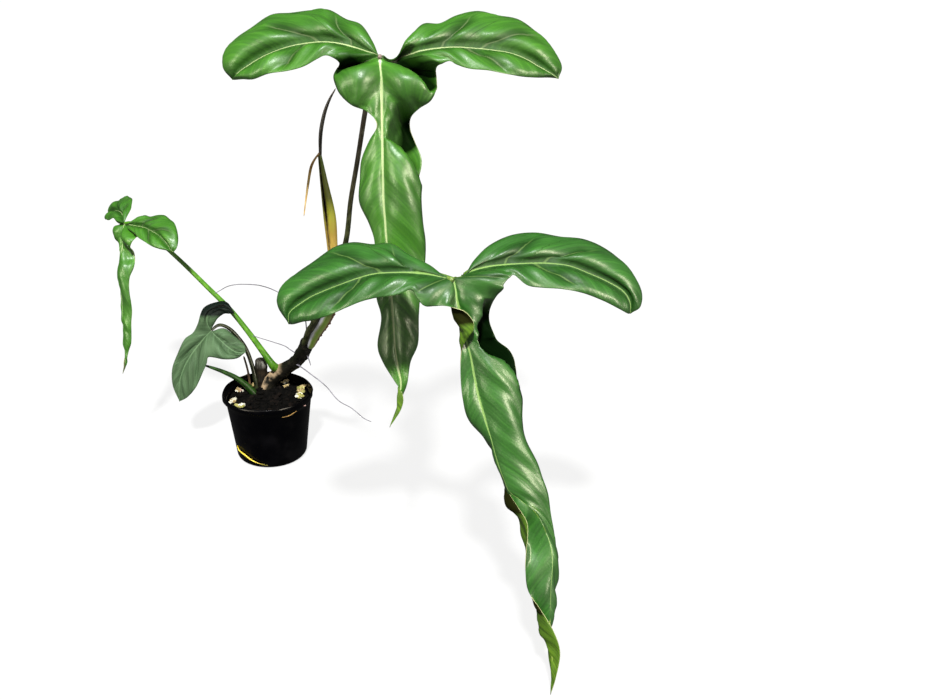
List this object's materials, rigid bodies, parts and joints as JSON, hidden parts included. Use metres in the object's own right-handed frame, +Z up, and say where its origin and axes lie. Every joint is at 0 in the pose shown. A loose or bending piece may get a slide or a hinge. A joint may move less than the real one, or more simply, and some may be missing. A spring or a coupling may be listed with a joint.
{
  "type": "potted philodendron delinksii",
  "caption": "Potted climbing philodendron: T-shaped leaves with long hanging middle lobes on stalks from a leaning stem, in a black nursery pot of bark mix.",
  "frame": {"origin": "middle of the pot's underside, on the surface it stands on", "axes": "+Z up; -Y towards the plant's front, where the two large leaves hang; +X to the right of that view"},
  "size_m": [0.5785, 0.5493, 0.5614],
  "materials": {
    "pot_plastic": "soft black nursery pot plastic, glossy",
    "bark_mix": "moist dark bark and soil mix",
    "perlite": "pale mineral chips, matte",
    "stem_bark": "dark smooth stem skin",
    "dark_petiole": "purple-brown leaf stalk, satin",
    "green_petiole": "green leaf stalk, satin",
    "dark_green_shoot": "dark green shoot, satin",
    "sheath": "yellow-olive papery sheath",
    "dried_plant": "dry tan plant fibre",
    "leaf_green": "glossy green leaf blade",
    "young_leaf_green": "blue-green leaf blade",
    "aerial_root": "grey-brown aerial root"
  },
  "bodies": {
    "root": {"pot": "pot_plastic", "soil": "bark_mix", "perlite_chips": "perlite", "main_stem": "stem_bark", "old_stem_stub": "stem_bark", "petiole_1": "dark_petiole", "petiole_2": "green_petiole", "petiole_3": "green_petiole", "petiole_4": "dark_petiole", "young_shoot": "dark_green_shoot", "old_petiole": "stem_bark", "cataphyll": "sheath", "new_leaf": "dark_petiole", "dried_strand": "dried_plant", "leaf_1": "leaf_green", "leaf_2": "leaf_green", "leaf_3": "leaf_green", "leaf_4": "young_leaf_green", "aerial_root_1": "aerial_root", "aerial_root_2": "aerial_root", "aerial_root_3": "aerial_root", "aerial_root_4": "aerial_root"}
  },
  "joints": []
}
